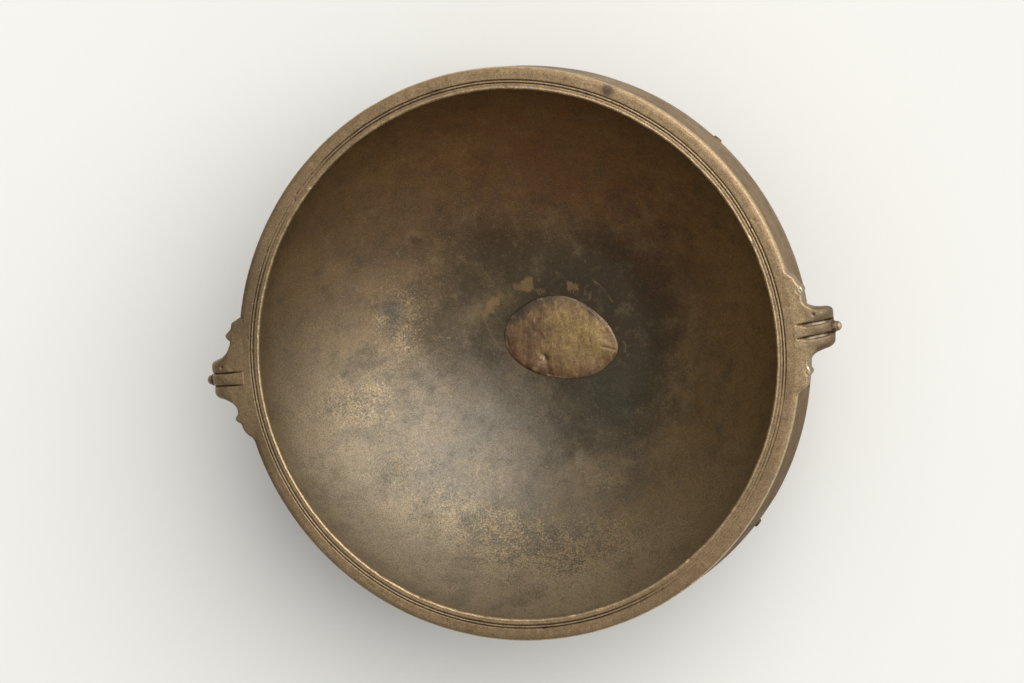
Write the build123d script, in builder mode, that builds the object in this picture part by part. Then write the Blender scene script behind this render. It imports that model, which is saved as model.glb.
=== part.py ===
"""Cast brass urli bowl with a flat grooved rim, two finger lugs and a repaired floor.

Millimetres. +Z is up and the origin is under the middle of the bowl, on the surface it
rests on. The lugs lie along +X and -X.
"""
from build123d import *

import math
import os

# driving dimensions
RIM_R = 200.0               # outer radius of the rim
HEIGHT = 152.0              # resting plane to the rim's top face

# pan
WALL_R = 199.4              # outer radius of the upright wall
WALL_T = 5.0                # thickness of the cast wall
FLOOR_T = 6.0               # thickness of the floor at the foot
SHOULDER_DROP = 53.0        # rim top down to the shoulder line
FOOT_R = 70.0               # radius of the flat resting place
FLOOR_R = 66.0              # radius of the flat floor inside
BELLY_OUT = 20.4            # bulge of the outer belly beyond its chord
BELLY_IN = 20.6             # bulge of the inner belly beyond its chord
HOLLOW_R = 47.0             # shallow hollow under the foot
HOLLOW_H = 2.0

# rim
RIM_T = 7.0                 # thickness of the rim over the wall
LIP_R = 184.0               # inner radius of the rim
LIP_T = 4.4                 # thickness of the rim at its inner lip
LIP_ROUND = 1.1             # rounding of the inner lip
UNDERCUT_R = 191.0          # where the rim starts to thin towards the lip
EDGE_ROUND = 1.2            # rounding of the outer edge
GROOVE_R = (188.5, 190.5)   # the two incised lines
GROOVE_W = 0.9              # side of the square tool that cuts them

# lugs
LUG_ROOT_X = 195.3          # where the shoulder's sweep leaves the rim
LUG_HALF_W = 43.0           # half width of the lug along the rim
LUG_FLAT_X = 207.0          # where the flat top starts to roll over
ROLL_R = 19.5               # radius of the roll at the finger tips
LUG_TIP_X = 223.2           # reach of the fingers
FINGER_END_X = 221.6        # where a finger's tip meets the slot
LUG_T = 17.5                # thickness of the lug at the finger tips
LUG_ROOT_T = 23.0           # thickness of the lug at the wall
LUG_SIDE = 50.0             # half width that the side profile is extruded to

# bars laid between the fingers
BAR_ROOT_X = 195.6          # squared inner end, let into the rim
BAR_SEAT_X = 203.0          # where the bar drops to the lug's full thickness
BAR_END_X = 221.4
BAR_HALF_W = 5.2            # half width of the slot between the fingers
BLADE_HALF_W = 3.8          # half width of the blade that shows on top
GROOVE_DEPTH = 5.0          # depth of the grooves beside the blade
BAR_DROOP = 25.0            # degrees that the knob points below level
COLLAR_R = 4.3
COLLAR_L = 2.4
KNOB_R = 3.6
KNOB_OFFSET = 3.6           # collar's inner face to the knob's centre

# floor repair
PATCH_AT = (-0.9, -2.4)     # middle of the plate, off the bowl's axis
PATCH_TURN = -11.0          # degrees from +X to the plate's long axis
PATCH_RX = 43.6
PATCH_RY = 30.0
PATCH_RISE = 3.4            # height of the plate's crown over the floor
PATCH_DOME_R = 350.0
PLUG_RX = 18.0
PLUG_RY = 11.0
BACKING_RX = 38.0
BACKING_RY = 27.0
BACKING_GAP = 0.6           # backing plate stays clear of the ground
RIVET_AT = (-17.5, -16.0)
RIVET_R = 2.0
RIVET_HEAD_R = 3.2
RIVET_SEAT = 1.2            # seat of the rivet head over the floor
RIVET_HEAD_H = 2.1

# cut-off casting stubs
STUD_ANGLES = (42, 138, 222, 318)
STUD_R = 3.6
STUD_REACH = 201.4          # distance of a stub's face from the bowl's axis

SEAT_Z = HEIGHT - RIM_T
SHOULDER_Z = HEIGHT - SHOULDER_DROP
INNER_WALL_R = WALL_R - WALL_T
ROUND_45 = 1 - math.sqrt(0.5)
ON_TOP = (Align.CENTER, Align.CENTER, Align.MIN)

os.makedirs("parts", exist_ok=True)


def finish(piece, name):
    piece.part.label = name
    export_step(piece.part, f"parts/{name}.step")


# bowl pan: upright wall, shoulder, rounded belly and flat foot, pierced for the repair
with BuildPart() as bowl_pan:
    with BuildSketch(Plane.XZ):
        with BuildLine():
            Polyline((0, FLOOR_T), (0, HOLLOW_H), (HOLLOW_R, HOLLOW_H), (HOLLOW_R, 0), (FOOT_R, 0))
            SagittaArc((FOOT_R, 0), (WALL_R, SHOULDER_Z), -BELLY_OUT)
            Polyline(
                (WALL_R, SHOULDER_Z),
                (WALL_R, SEAT_Z),
                (INNER_WALL_R, SEAT_Z),
                (INNER_WALL_R, SHOULDER_Z + WALL_T / 3),
            )
            SagittaArc((INNER_WALL_R, SHOULDER_Z + WALL_T / 3), (FLOOR_R, FLOOR_T), BELLY_IN)
            Line((FLOOR_R, FLOOR_T), (0, FLOOR_T))
        make_face()
    revolve(axis=Axis.Z)
    with BuildSketch(Plane.XY):
        with Locations(PATCH_AT):
            Ellipse(PLUG_RX, PLUG_RY, rotation=PATCH_TURN)
        with Locations(RIVET_AT):
            Circle(RIVET_R)
    extrude(amount=FLOOR_T, mode=Mode.SUBTRACT)
finish(bowl_pan, "bowl_pan")

# rim ring: flat grooved flange seated on the wall and overhanging the inside
with BuildPart() as rim_ring:
    with BuildSketch(Plane.XZ):
        with BuildLine():
            Polyline(
                (LIP_R + LIP_ROUND, HEIGHT),
                (RIM_R - EDGE_ROUND, HEIGHT),
            )
            ThreePointArc(
                (RIM_R - EDGE_ROUND, HEIGHT),
                (RIM_R - EDGE_ROUND * ROUND_45, HEIGHT - EDGE_ROUND * ROUND_45),
                (RIM_R, HEIGHT - EDGE_ROUND),
            )
            Polyline(
                (RIM_R, HEIGHT - EDGE_ROUND),
                (RIM_R, SEAT_Z),
                (UNDERCUT_R, SEAT_Z),
                (LIP_R + LIP_ROUND, HEIGHT - LIP_T),
                (LIP_R, HEIGHT - LIP_T + LIP_ROUND),
                (LIP_R, HEIGHT - LIP_ROUND),
            )
            ThreePointArc(
                (LIP_R, HEIGHT - LIP_ROUND),
                (LIP_R + LIP_ROUND * ROUND_45, HEIGHT - LIP_ROUND * ROUND_45),
                (LIP_R + LIP_ROUND, HEIGHT),
            )
        make_face()
        with Locations(*[(radius, HEIGHT) for radius in GROOVE_R]):
            Rectangle(GROOVE_W, GROOVE_W, rotation=45, mode=Mode.SUBTRACT)
    revolve(axis=Axis.Z)
    with BuildSketch(Plane.XY.offset(HEIGHT)):
        slot_l = RIM_R - BAR_ROOT_X + 1
        with Locations((BAR_ROOT_X + slot_l / 2, 0), (-BAR_ROOT_X - slot_l / 2, 0)):
            Rectangle(slot_l, 2 * BLADE_HALF_W)
    extrude(amount=-GROOVE_DEPTH, mode=Mode.SUBTRACT)
finish(rim_ring, "rim_ring")


def lug_half_outline():
    """One shoulder, bud, hollow and finger of the lug, from the rim out to the bar."""
    ThreePointArc((LUG_ROOT_X, LUG_HALF_W), (200.7, 39.3), (202.6, 33.2))
    ThreePointArc((202.6, 33.2), (208.2, 29.8), (204.6, 25.8))
    ThreePointArc((204.6, 25.8), (205.3, 20.6), (209.8, 16.6))
    Spline((209.8, 16.6), (214.6, 14.4), (219.2, 13.2), tangents=((1.2, -0.9), (1, -0.15)))
    ThreePointArc((219.2, 13.2), (LUG_TIP_X, 9.6), (FINGER_END_X, BAR_HALF_W))
    Line((FINGER_END_X, BAR_HALF_W), (FINGER_END_X, 0))


def lug_side_profile(sink=0.0):
    """Closed side view of the lug: flat top, rolled tips, nearly flat underside."""
    top = HEIGHT - sink
    roll_end_x = LUG_TIP_X + 1
    swing = math.asin((roll_end_x - LUG_FLAT_X) / ROLL_R)
    half_x = LUG_FLAT_X + ROLL_R * math.sin(swing / 2)
    Line((LIP_R, top), (LUG_FLAT_X, top))
    ThreePointArc(
        (LUG_FLAT_X, top),
        (half_x, top - ROLL_R * (1 - math.cos(swing / 2))),
        (roll_end_x, top - ROLL_R * (1 - math.cos(swing))),
    )
    Polyline(
        (roll_end_x, top - ROLL_R * (1 - math.cos(swing))),
        (roll_end_x, HEIGHT - LUG_T + 1),
        (roll_end_x - 3, HEIGHT - LUG_T),
        (RIM_R + 5, HEIGHT - LUG_T - 2),
        (WALL_R, HEIGHT - LUG_ROOT_T),
        (LIP_R, HEIGHT - LUG_ROOT_T),
        (LIP_R, top),
    )


# right lug: scalloped block closing on the wall and the rim's edge, slotted for its bar
with BuildPart() as right_lug:
    with BuildSketch(Plane.XY.offset(HEIGHT)):
        with BuildLine():
            lug_half_outline()
            Polyline((LUG_ROOT_X, LUG_HALF_W), (LIP_R, LUG_HALF_W), (LIP_R, 0))
            mirror(about=Plane.XZ)
        make_face()
    extrude(amount=-LUG_ROOT_T)
    with BuildSketch(Plane.XZ):
        with BuildLine():
            lug_side_profile()
        make_face()
    extrude(amount=LUG_SIDE, both=True, mode=Mode.INTERSECT)
    with Locations((0, 0, SEAT_Z)):
        Cylinder(RIM_R, RIM_T, align=ON_TOP, mode=Mode.SUBTRACT)
    Cylinder(WALL_R, SEAT_Z, align=ON_TOP, mode=Mode.SUBTRACT)
    with BuildSketch(Plane.XY.offset(HEIGHT)):
        with Locations((BAR_SEAT_X, 0)):
            Rectangle(2 * GROOVE_DEPTH, 2 * BLADE_HALF_W)
    extrude(amount=-GROOVE_DEPTH, mode=Mode.SUBTRACT)
    with BuildSketch(Plane.XY.offset(HEIGHT)):
        with Locations((BAR_SEAT_X, 0)):
            Rectangle(RIM_R, 2 * BAR_HALF_W, align=(Align.MIN, Align.CENTER))
    extrude(amount=-LUG_ROOT_T - 1, mode=Mode.SUBTRACT)
finish(right_lug, "right_lug")

# right lug bar: squared blade let into the rim, deeper core, then a collar and a knob
with BuildPart() as right_lug_bar:
    with BuildSketch(Plane.XZ):
        with BuildLine():
            lug_side_profile()
        make_face()
        with BuildLine():
            Polyline(
                (LIP_R, HEIGHT - GROOVE_DEPTH),
                (BAR_SEAT_X, HEIGHT - GROOVE_DEPTH),
                (BAR_SEAT_X, HEIGHT - LUG_ROOT_T),
                (LIP_R, HEIGHT - LUG_ROOT_T),
                close=True,
            )
        make_face(mode=Mode.SUBTRACT)
        with Locations((BAR_ROOT_X, HEIGHT)):
            Rectangle(RIM_R, 2 * LUG_ROOT_T, align=(Align.MAX, Align.CENTER), mode=Mode.SUBTRACT)
        with Locations((BAR_END_X, HEIGHT)):
            Rectangle(RIM_R, 3 * LUG_ROOT_T, align=(Align.MIN, Align.CENTER), mode=Mode.SUBTRACT)
    extrude(amount=BLADE_HALF_W, both=True)
    with BuildSketch(Plane.XZ):
        with BuildLine():
            lug_side_profile(sink=GROOVE_DEPTH)
        make_face()
        with Locations((BAR_SEAT_X, HEIGHT)):
            Rectangle(RIM_R, 3 * LUG_ROOT_T, align=(Align.MAX, Align.CENTER), mode=Mode.SUBTRACT)
        with Locations((BAR_END_X, HEIGHT)):
            Rectangle(RIM_R, 3 * LUG_ROOT_T, align=(Align.MIN, Align.CENTER), mode=Mode.SUBTRACT)
    extrude(amount=BAR_HALF_W, both=True)
    droop = math.radians(BAR_DROOP)
    nose = Plane(
        origin=(BAR_END_X - 1, 0, HEIGHT - 2 * LUG_T / 3),
        z_dir=(math.cos(droop), 0, -math.sin(droop)),
    )
    with Locations(nose):
        Cylinder(COLLAR_R, COLLAR_L + 1, align=ON_TOP)
    with Locations(nose.offset(KNOB_OFFSET + 1)):
        Sphere(KNOB_R)
finish(right_lug_bar, "right_lug_bar")

# left lug and its bar: the same castings turned half round
with BuildPart() as left_lug:
    add(right_lug.part.rotate(Axis.Z, 180))
finish(left_lug, "left_lug")

with BuildPart() as left_lug_bar:
    add(right_lug_bar.part.rotate(Axis.Z, 180))
finish(left_lug_bar, "left_lug_bar")

# centre patch: domed oval plate on the floor with the plug that fills the worn hole
with BuildPart() as centre_patch:
    with BuildSketch(Plane.XY.offset(FLOOR_T)):
        with Locations(PATCH_AT):
            Ellipse(PATCH_RX, PATCH_RY, rotation=PATCH_TURN)
    extrude(amount=PATCH_RISE)
    with Locations((*PATCH_AT, FLOOR_T + PATCH_RISE - PATCH_DOME_R)):
        Sphere(PATCH_DOME_R, mode=Mode.INTERSECT)
    with BuildSketch(Plane.XY.offset(HOLLOW_H)):
        with Locations(PATCH_AT):
            Ellipse(PLUG_RX, PLUG_RY, rotation=PATCH_TURN)
    extrude(amount=FLOOR_T - HOLLOW_H)
    with BuildSketch(Plane.XY.offset(FLOOR_T + RIVET_SEAT)):
        with Locations(RIVET_AT):
            Circle(RIVET_HEAD_R)
    extrude(amount=PATCH_RISE, mode=Mode.SUBTRACT)
    with BuildSketch(Plane.XY.offset(FLOOR_T)):
        with Locations(RIVET_AT):
            Circle(RIVET_R)
    extrude(amount=PATCH_RISE, mode=Mode.SUBTRACT)
finish(centre_patch, "centre_patch")

# patch backing: thin oval plate in the hollow under the foot
with BuildPart() as patch_backing:
    with BuildSketch(Plane.XY.offset(BACKING_GAP)):
        with Locations(PATCH_AT):
            Ellipse(BACKING_RX, BACKING_RY, rotation=PATCH_TURN)
        with Locations(RIVET_AT):
            Circle(RIVET_R, mode=Mode.SUBTRACT)
    extrude(amount=HOLLOW_H - BACKING_GAP)
finish(patch_backing, "patch_backing")

# patch rivet: pin through backing, floor and patch with a low beaten head
with BuildPart() as patch_rivet:
    with BuildSketch(Plane.XY.offset(BACKING_GAP)):
        with Locations(RIVET_AT):
            Circle(RIVET_R)
    extrude(amount=FLOOR_T + RIVET_SEAT - BACKING_GAP)
    with BuildSketch(Plane.XY.offset(FLOOR_T + RIVET_SEAT)):
        with Locations(RIVET_AT):
            Circle(RIVET_HEAD_R)
    extrude(amount=RIVET_HEAD_H)
    fillet(patch_rivet.edges().group_by(Axis.Z)[-1], RIVET_HEAD_H / 2)
finish(patch_rivet, "patch_rivet")

# wall studs: four cut-off stubs standing on the shoulder line
with BuildPart() as wall_studs:
    for angle in STUD_ANGLES:
        turn = math.radians(angle)
        outward = (math.cos(turn), math.sin(turn), 0)
        foot = (INNER_WALL_R * outward[0], INNER_WALL_R * outward[1], SHOULDER_Z)
        with Locations(Plane(origin=foot, z_dir=outward)):
            Cylinder(STUD_R, STUD_REACH - INNER_WALL_R, align=ON_TOP)
    add(bowl_pan.part, mode=Mode.SUBTRACT)
finish(wall_studs, "wall_studs")
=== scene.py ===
"""Looks of the cast brass urli bowl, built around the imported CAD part.

Shapes are worked out in millimetres in the part's own frame and written to meshes in metres.
"""
import itertools
import math

import bpy
import numpy as np
from mathutils import Matrix, Vector


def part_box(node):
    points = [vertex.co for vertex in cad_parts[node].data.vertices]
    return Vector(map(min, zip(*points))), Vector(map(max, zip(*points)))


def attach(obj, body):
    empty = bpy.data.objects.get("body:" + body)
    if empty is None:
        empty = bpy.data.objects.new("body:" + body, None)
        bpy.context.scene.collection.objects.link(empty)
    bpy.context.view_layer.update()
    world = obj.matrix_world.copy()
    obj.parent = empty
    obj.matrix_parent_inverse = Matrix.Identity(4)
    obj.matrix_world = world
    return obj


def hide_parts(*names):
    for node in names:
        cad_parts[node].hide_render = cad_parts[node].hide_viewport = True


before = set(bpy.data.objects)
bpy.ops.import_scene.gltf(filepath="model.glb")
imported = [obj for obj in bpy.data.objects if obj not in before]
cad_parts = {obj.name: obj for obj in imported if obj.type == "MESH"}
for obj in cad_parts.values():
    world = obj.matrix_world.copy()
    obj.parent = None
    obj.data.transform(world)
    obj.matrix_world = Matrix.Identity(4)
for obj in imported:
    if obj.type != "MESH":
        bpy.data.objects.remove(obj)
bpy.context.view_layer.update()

MM = 0.001

# sizes in millimetres, from the frame where a node states them
RIM_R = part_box("rim_ring")[1][0] / MM
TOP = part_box("rim_ring")[1][2] / MM
WALL_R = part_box("bowl_pan")[1][0] / MM
WALL_T = 5.0
INNER_R = WALL_R - WALL_T    # inner radius of the upright wall
FLOOR_T = 6.0                # height of the floor inside
RIM_T = 7.0
SHOULDER_Z = TOP - 53.0      # height of the line where the wall meets the belly
KNEE = (INNER_R, SHOULDER_Z + WALL_T / 3)      # where the inner wall meets the belly
FOOT_R = 70.0                # outer radius of the flat resting ring
FOOT_Z = 0.15                # the resting ring stays this far over the ground
FLOOR_R = 66.0               # radius of the flat floor inside
BELLY_OUT = 20.4             # bulge of the outer and the inner belly beyond their chords
BELLY_IN = 20.6
HOLLOW_R = 47.0              # shallow hollow under the foot
HOLLOW_H = 2.0
LIP_R = 184.0                # inner radius of the rim
SKIN = 0.25                  # the tops of cast surfaces stay this far under the frame's box
CEILING = TOP - 0.02         # nothing of the rim or the lugs rises over this
PATCH_AT = (-0.9, -2.4)
PATCH_TURN = math.radians(-11.0)
PATCH_RX = 43.6
PATCH_RY = 30.0
BACKING_RX = 38.0
BACKING_RY = 27.0
BEAD_AT = (-17.5, -16.0)
STUD_TURNS = [math.radians(a) for a in (42, 138, 222, 318)]
STUD_RISES = (0.5, 0.8, 0.8, 1.0)      # how far each stub stands off the wall

# ---------------------------------------------------------------- noise and small helpers

TABLE = np.random.default_rng(7).uniform(-1, 1, 8192)


def noise(points, size, seed=0):
    """Smooth noise in -1..1 over (n, 3) points, with features about size across."""
    scaled = points / size + 17.31 * (seed + 1)
    cell = np.floor(scaled).astype(np.int64)
    part = scaled - cell
    part = part * part * part * (part * (part * 6 - 15) + 10)
    total = np.zeros(len(points))
    for corner in itertools.product((0, 1), repeat=3):
        at = cell + corner
        key = (at[:, 0] * 73856093) ^ (at[:, 1] * 19349663) ^ (at[:, 2] * 83492791)
        weight = np.ones(len(points))
        for axis in range(3):
            weight = weight * (part[:, axis] if corner[axis] else 1 - part[:, axis])
        total += weight * TABLE[key % len(TABLE)]
    return total


def step_up(value, low, high):
    """0 below low, 1 above high and smooth between."""
    t = np.clip((value - low) / (high - low), 0, 1)
    return t * t * (3 - 2 * t)


def bump_at(distance, size):
    """1 at distance 0, falling smoothly to 0 at about size."""
    return np.exp(-(distance / size) ** 2 * 2)


def angle_gap(turn, centre):
    """Smallest difference in radians between angles."""
    return np.abs((turn - centre + math.pi) % (2 * math.pi) - math.pi)


def near_turn(turn, degrees, width):
    """1 at a turn of so many degrees, falling smoothly to 0 at about width radians from it."""
    return bump_at(angle_gap(turn, math.radians(degrees)), width)


def near_spot(x, y, at_x, at_y, size, wide=1.0):
    """1 at a place on the plan, falling smoothly to 0 at about size; wide draws it out along x."""
    return bump_at(np.hypot((x - at_x) / wide, y - at_y), size)


def round_axis(radius, turn, height):
    """Points at a radius, a turn and a height about the bowl's axis."""
    return np.stack([radius * np.cos(turn), radius * np.sin(turn), height], 1)


def line_gap(x, y, start, end):
    """Distance in plan from points to the straight line between two ends."""
    ex, ey = end[0] - start[0], end[1] - start[1]
    along = np.clip(((x - start[0]) * ex + (y - start[1]) * ey) / (ex * ex + ey * ey), 0, 1)
    return np.hypot(x - start[0] - along * ex, y - start[1] - along * ey)


def arc_points(start, end, bulge, count):
    """Points of the arc from start to end that bulges to the right of its chord."""
    start = np.array(start, float)
    end = np.array(end, float)
    chord = end - start
    length = np.hypot(*chord)
    along = chord / length
    right = np.array([along[1], -along[0]])
    radius = ((length / 2) ** 2 + bulge ** 2) / (2 * bulge)
    centre = (start + end) / 2 - right * (radius - bulge)
    half = math.asin(length / 2 / radius)
    swing = np.linspace(-half, half, count)
    return centre + radius * (np.outer(np.cos(swing), right) + np.outer(np.sin(swing), along))


def run(start, end, count):
    """Evenly spaced points from start up to, but not including, end."""
    return np.linspace(start, end, count, endpoint=False)


def flowing(points, steps):
    """A smooth closed line through a few points (Catmull-Rom), steps to a span."""
    points = np.array(points, float)
    padded = np.vstack([points[-1:], points, points[:2]])
    t = np.linspace(0, 1, steps, endpoint=False)[:, None]
    spans = []
    for a, b, c, d in zip(padded, padded[1:], padded[2:], padded[3:]):
        spans.append(0.5 * (2 * b + (c - a) * t + (2 * a - 5 * b + 4 * c - d) * t ** 2
                            + (3 * b - 3 * c + d - a) * t ** 3))
    return np.vstack(spans)


def outline_distance(x, y, outline):
    """Distance from grid points to a closed outline, negative inside it."""
    nearest = np.full(x.shape, np.inf)
    inside = np.zeros(x.shape, bool)
    for start, end in zip(outline, np.roll(outline, -1, 0)):
        nearest = np.minimum(nearest, line_gap(x, y, start, end))
        (ax, ay), (bx, by) = start, end
        if ay != by:
            inside ^= ((ay > y) != (by > y)) & (x < (bx - ax) * (y - ay) / (by - ay) + ax)
    return np.where(inside, -1, 1) * nearest


def soft_max(first, second, blend):
    """The larger of two distances, with the corner between them rounded."""
    h = np.clip(0.5 + 0.5 * (first - second) / blend, 0, 1)
    return second + (first - second) * h + blend * h * (1 - h)


def soft_min(first, second, blend):
    return -soft_max(-first, -second, blend)


def grid(low, high, pitch):
    axes = [np.arange(a, b + pitch, pitch) for a, b in zip(low, high)]
    return np.meshgrid(*axes, indexing="ij")


def skin_of(field, low, pitch):
    """Points and quads of the surface where a grid of distances changes sign (surface nets)."""
    cells = tuple(n - 1 for n in field.shape)
    corners = list(itertools.product((0, 1), repeat=3))
    total = np.zeros(cells + (3,))
    hits = np.zeros(cells)
    for one, two in itertools.combinations(corners, 2):
        if sum(a != b for a, b in zip(one, two)) != 1:
            continue
        first = field[tuple(slice(a, a + n) for a, n in zip(one, cells))]
        second = field[tuple(slice(a, a + n) for a, n in zip(two, cells))]
        cut = (first < 0) != (second < 0)
        t = first[cut] / (first[cut] - second[cut])
        total[cut] += np.array(one) + t[:, None] * (np.array(two) - np.array(one))
        hits[cut] += 1
    used = hits > 0
    index = np.full(cells, -1)
    index[used] = np.arange(used.sum())
    points = (np.argwhere(used) + total[used] / hits[used][:, None]) * pitch + np.array(low)
    quads = []
    for axis in range(3):
        other = [(axis + 1) % 3, (axis + 2) % 3]
        near = [slice(1, -1)] * 3
        near[axis] = slice(0, -1)
        far = list(near)
        far[axis] = slice(1, None)
        a = field[tuple(near)] < 0
        b = field[tuple(far)] < 0
        edges = np.argwhere(a != b)
        leaving = a[a != b]
        edges += [0 if i == axis else 1 for i in range(3)]
        ring = []
        for du, dv in ((-1, -1), (0, -1), (0, 0), (-1, 0)):
            cell = edges.copy()
            cell[:, other[0]] += du
            cell[:, other[1]] += dv
            ring.append(index[tuple(cell.T)])
        ring = np.stack(ring, -1)
        ring[~leaving] = ring[~leaving][:, ::-1]
        quads.append(ring)
    return points, np.vstack(quads)


def hollowness(points, quads, passes=3):
    """How far each point lies below (+) or above (-) its neighbours, in millimetres, blurred."""
    across = points[quads[:, 2]] - points[quads[:, 0]]
    up = points[quads[:, 3]] - points[quads[:, 1]]
    facing = np.cross(across, up)
    normal = np.zeros_like(points)
    ends = np.vstack([quads[:, [0, 1]], quads[:, [1, 2]], quads[:, [2, 3]], quads[:, [3, 0]]])
    count = np.zeros(len(points))
    for corner in range(4):
        np.add.at(normal, quads[:, corner], facing)
    normal /= np.maximum(np.linalg.norm(normal, axis=1), 1e-9)[:, None]
    np.add.at(count, ends[:, 0], 1)
    mean = np.zeros_like(points)
    np.add.at(mean, ends[:, 0], points[ends[:, 1]])
    value = np.einsum("ij,ij->i", mean / count[:, None] - points, normal)
    for _ in range(passes):
        total = np.zeros(len(points))
        np.add.at(total, ends[:, 0], value[ends[:, 1]])
        value = 0.4 * value + 0.6 * total / count
    return value


def new_mesh(name, points, faces, marks):
    """A smooth mesh object from points in millimetres, with one float attribute for each mark."""
    mesh = bpy.data.meshes.new(name)
    mesh.from_pydata((points * MM).tolist(), [], [list(face) for face in faces])
    mesh.validate()
    for label, values in marks.items():
        layer = mesh.attributes.new(label, "FLOAT", "POINT")
        layer.data.foreach_set("value", np.asarray(values, np.float32))
    mesh.shade_smooth()
    piece = bpy.data.objects.new(name, mesh)
    bpy.context.scene.collection.objects.link(piece)
    return piece


def held(**marks):
    """Marks kept within 0..1."""
    return {label: np.clip(values, 0, 1) for label, values in marks.items()}


def lathe_faces(rings, count, closed):
    """Quads between neighbouring rings of count points; closed joins the last ring to the first."""
    ring = np.arange(rings if closed else rings - 1)
    spot = np.arange(count)
    low, turn = np.meshgrid(ring, spot, indexing="ij")
    high = (low + 1) % rings
    after = (turn + 1) % count
    corners = [low * count + turn, low * count + after, high * count + after, high * count + turn]
    return np.stack(corners, -1).reshape(-1, 4)


def stand_in(node, ending, material, points, faces, marks):
    """A visible piece that takes the place of a CAD node, named after it."""
    piece = new_mesh(node + ending, points, faces, marks)
    piece.data.materials.append(material)
    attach(piece, "root")
    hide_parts(node)
    return piece


# ---------------------------------------------------------------- material building

def srgb(red, green, blue):
    """Linear colour of an 8-bit screen colour."""
    channels = [c / 255 for c in (red, green, blue)]
    linear = [c / 12.92 if c <= 0.04045 else ((c + 0.055) / 1.055) ** 2.4 for c in channels]
    return (*linear, 1.0)


class Nodes:
    """Short calls that add nodes to a material or world. The colour and the bump build up in layers."""

    def __init__(self, owner):
        self.owner = owner
        owner.use_nodes = True
        self.tree = owner.node_tree
        self.tree.nodes.clear()
        self.spot = self.node("ShaderNodeTexCoord", {})
        self.colour = None
        self.normal = None

    def node(self, kind, inputs, **settings):
        """A new node with its settings, and its inputs given as numbers or linked from sockets."""
        made = self.tree.nodes.new(kind)
        for key, value in settings.items():
            setattr(made, key, value)
        for name, value in inputs.items():
            if isinstance(value, bpy.types.NodeSocket):
                self.tree.links.new(value, made.inputs[name])
            else:
                made.inputs[name].default_value = value
        return made

    def noise(self, size, detail=4.0, rough=0.55, stretch=(1, 1, 1)):
        """Noise in 0..1 with features about size millimetres across."""
        mapped = self.node("ShaderNodeMapping", {"Vector": self.spot.outputs["Object"], "Scale": stretch})
        return self.node("ShaderNodeTexNoise", {
            "Vector": mapped.outputs[0], "Scale": 1 / (size * MM), "Detail": detail, "Roughness": rough,
        }).outputs["Fac"]

    def mark(self, name):
        return self.node("ShaderNodeAttribute", {}, attribute_name=name).outputs["Fac"]

    def math(self, operation, first, second):
        return self.node("ShaderNodeMath", {0: first, 1: second}, operation=operation).outputs[0]

    def sum(self, *values):
        total = values[0]
        for value in values[1:]:
            total = self.math("ADD", total, value)
        return total

    def times(self, first, second):
        return self.math("MULTIPLY", first, second)

    def span(self, value, low, high, start=0.0, end=1.0, curve="SMOOTHSTEP"):
        """value taken from low..high to start..end, smoothly and held at the ends."""
        return self.node("ShaderNodeMapRange", {
            "Value": value, "From Min": low, "From Max": high, "To Min": start, "To Max": end,
        }, interpolation_type=curve).outputs["Result"]

    def sway(self, value, reach):
        """A noise as a small swing to either side of 0."""
        return self.span(value, 0.2, 0.8, -reach, reach)

    def broken(self, mark, value, low, high, start):
        """A mark that a noise weakens in places, down to start times its strength."""
        return self.times(self.mark(mark), self.span(value, low, high, start, 1.0))

    def mix(self, amount, first, second):
        """Two colours mixed, each a socket or an 8-bit screen colour."""
        first, second = (srgb(*c) if isinstance(c, tuple) else c for c in (first, second))
        return self.node("ShaderNodeMix", {0: amount, 6: first, 7: second}, data_type="RGBA").outputs[2]

    def coat(self, amount, *colour):
        """Lays a screen colour over the colour so far."""
        self.colour = self.mix(amount, self.colour, colour)

    def film(self, value, low, high, most, *colour):
        """Lays a screen colour where a value passes from low to high, at most so strong."""
        self.coat(self.span(value, low, high, 0.0, most), *colour)

    def bump(self, height, distance, strength):
        inputs = {"Height": height, "Distance": distance * MM, "Strength": strength}
        if self.normal is not None:
            inputs["Normal"] = self.normal
        self.normal = self.node("ShaderNodeBump", inputs).outputs["Normal"]

    def finish(self, rough, metal, gloss=0.5):
        shader = self.node("ShaderNodeBsdfPrincipled", {
            "Base Color": self.colour, "Roughness": rough, "Metallic": metal, "Normal": self.normal,
            "Specular IOR Level": gloss, "IOR": 1.9,
        })
        self.node("ShaderNodeOutputMaterial", {"Surface": shader.outputs[0]})
        return self.owner


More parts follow.
